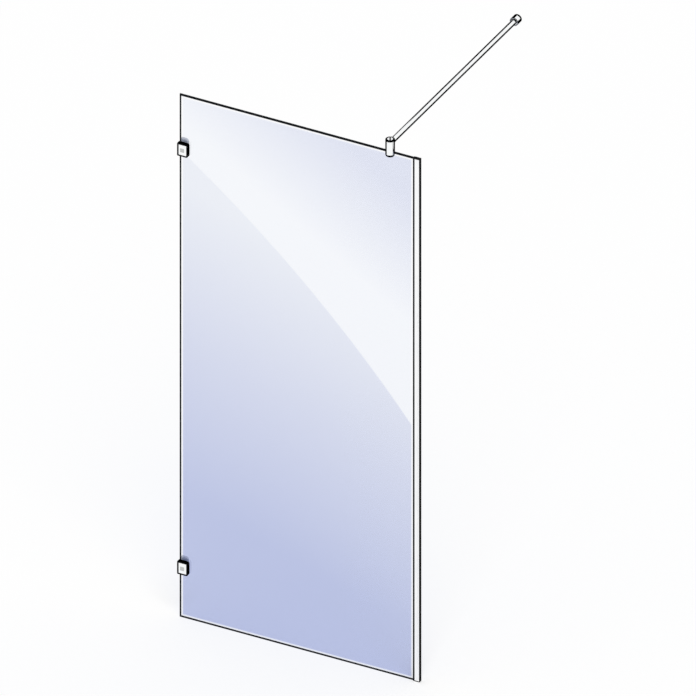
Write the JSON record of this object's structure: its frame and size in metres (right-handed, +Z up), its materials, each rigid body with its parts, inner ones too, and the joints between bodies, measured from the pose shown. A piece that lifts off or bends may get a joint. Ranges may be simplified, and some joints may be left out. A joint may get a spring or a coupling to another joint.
{
  "type": "shower screen",
  "caption": "Fixed walk-in shower screen: a clear glass panel clamped to one wall, with a metal edge rail and a round support bar to a second wall.",
  "frame": {"origin": "on the first wall's face, midway between the two wall screws of the lower bracket", "axes": "+X along the glass from the first wall to the free edge, +Y along the support bar to the second wall, +Z up"},
  "size_m": [0.895, 0.9129, 2.045],
  "materials": {
    "glass": "clear toughened glass with ground edges",
    "aluminium": "bright polished extrusion",
    "chrome": "polished chrome plate",
    "steel": "plain stainless steel",
    "grey_coat": "mid grey powder coat",
    "rubber": "black soft rubber",
    "cap_plastic": "light grey satin moulding",
    "black_plastic": "black satin moulding",
    "nylon": "natural white nylon"
  },
  "bodies": {
    "screen": {"glass_panel": "glass", "edge_profile": "aluminium", "glazing_gasket": "rubber", "bumper_strip": "rubber", "profile_top_cap": "black_plastic", "profile_bottom_cap": "black_plastic", "lower_wall_bracket": "grey_coat", "upper_wall_bracket": "grey_coat", "lower_rear_gasket": "rubber", "upper_rear_gasket": "rubber", "lower_front_gasket": "rubber", "upper_front_gasket": "rubber", "lower_screw_sleeve": "nylon", "upper_screw_sleeve": "nylon", "lower_clamp_plate": "chrome", "upper_clamp_plate": "chrome", "lower_clamp_screw": "steel", "upper_clamp_screw": "steel", "lower_cover_cap": "cap_plastic", "upper_cover_cap": "cap_plastic"},
    "support": {"bar_post": "chrome", "post_liner": "rubber", "post_glass_screws": "steel", "post_clamp_screw": "chrome", "support_bar": "chrome", "wall_flange_base": "steel"},
    "flange_cup": {"wall_flange": "chrome", "flange_grub_screw": "steel"}
  },
  "joints": [
    {"name": "post_slide", "type": "slide", "parent": "screen", "child": "support", "axis": [1, 0, 0], "range_m": [-0.35, 0.068]},
    {"name": "flange_cup_slide", "type": "slide", "parent": "support", "child": "flange_cup", "axis": [0, -1, 0], "range_m": [0, 0.06]}
  ]
}
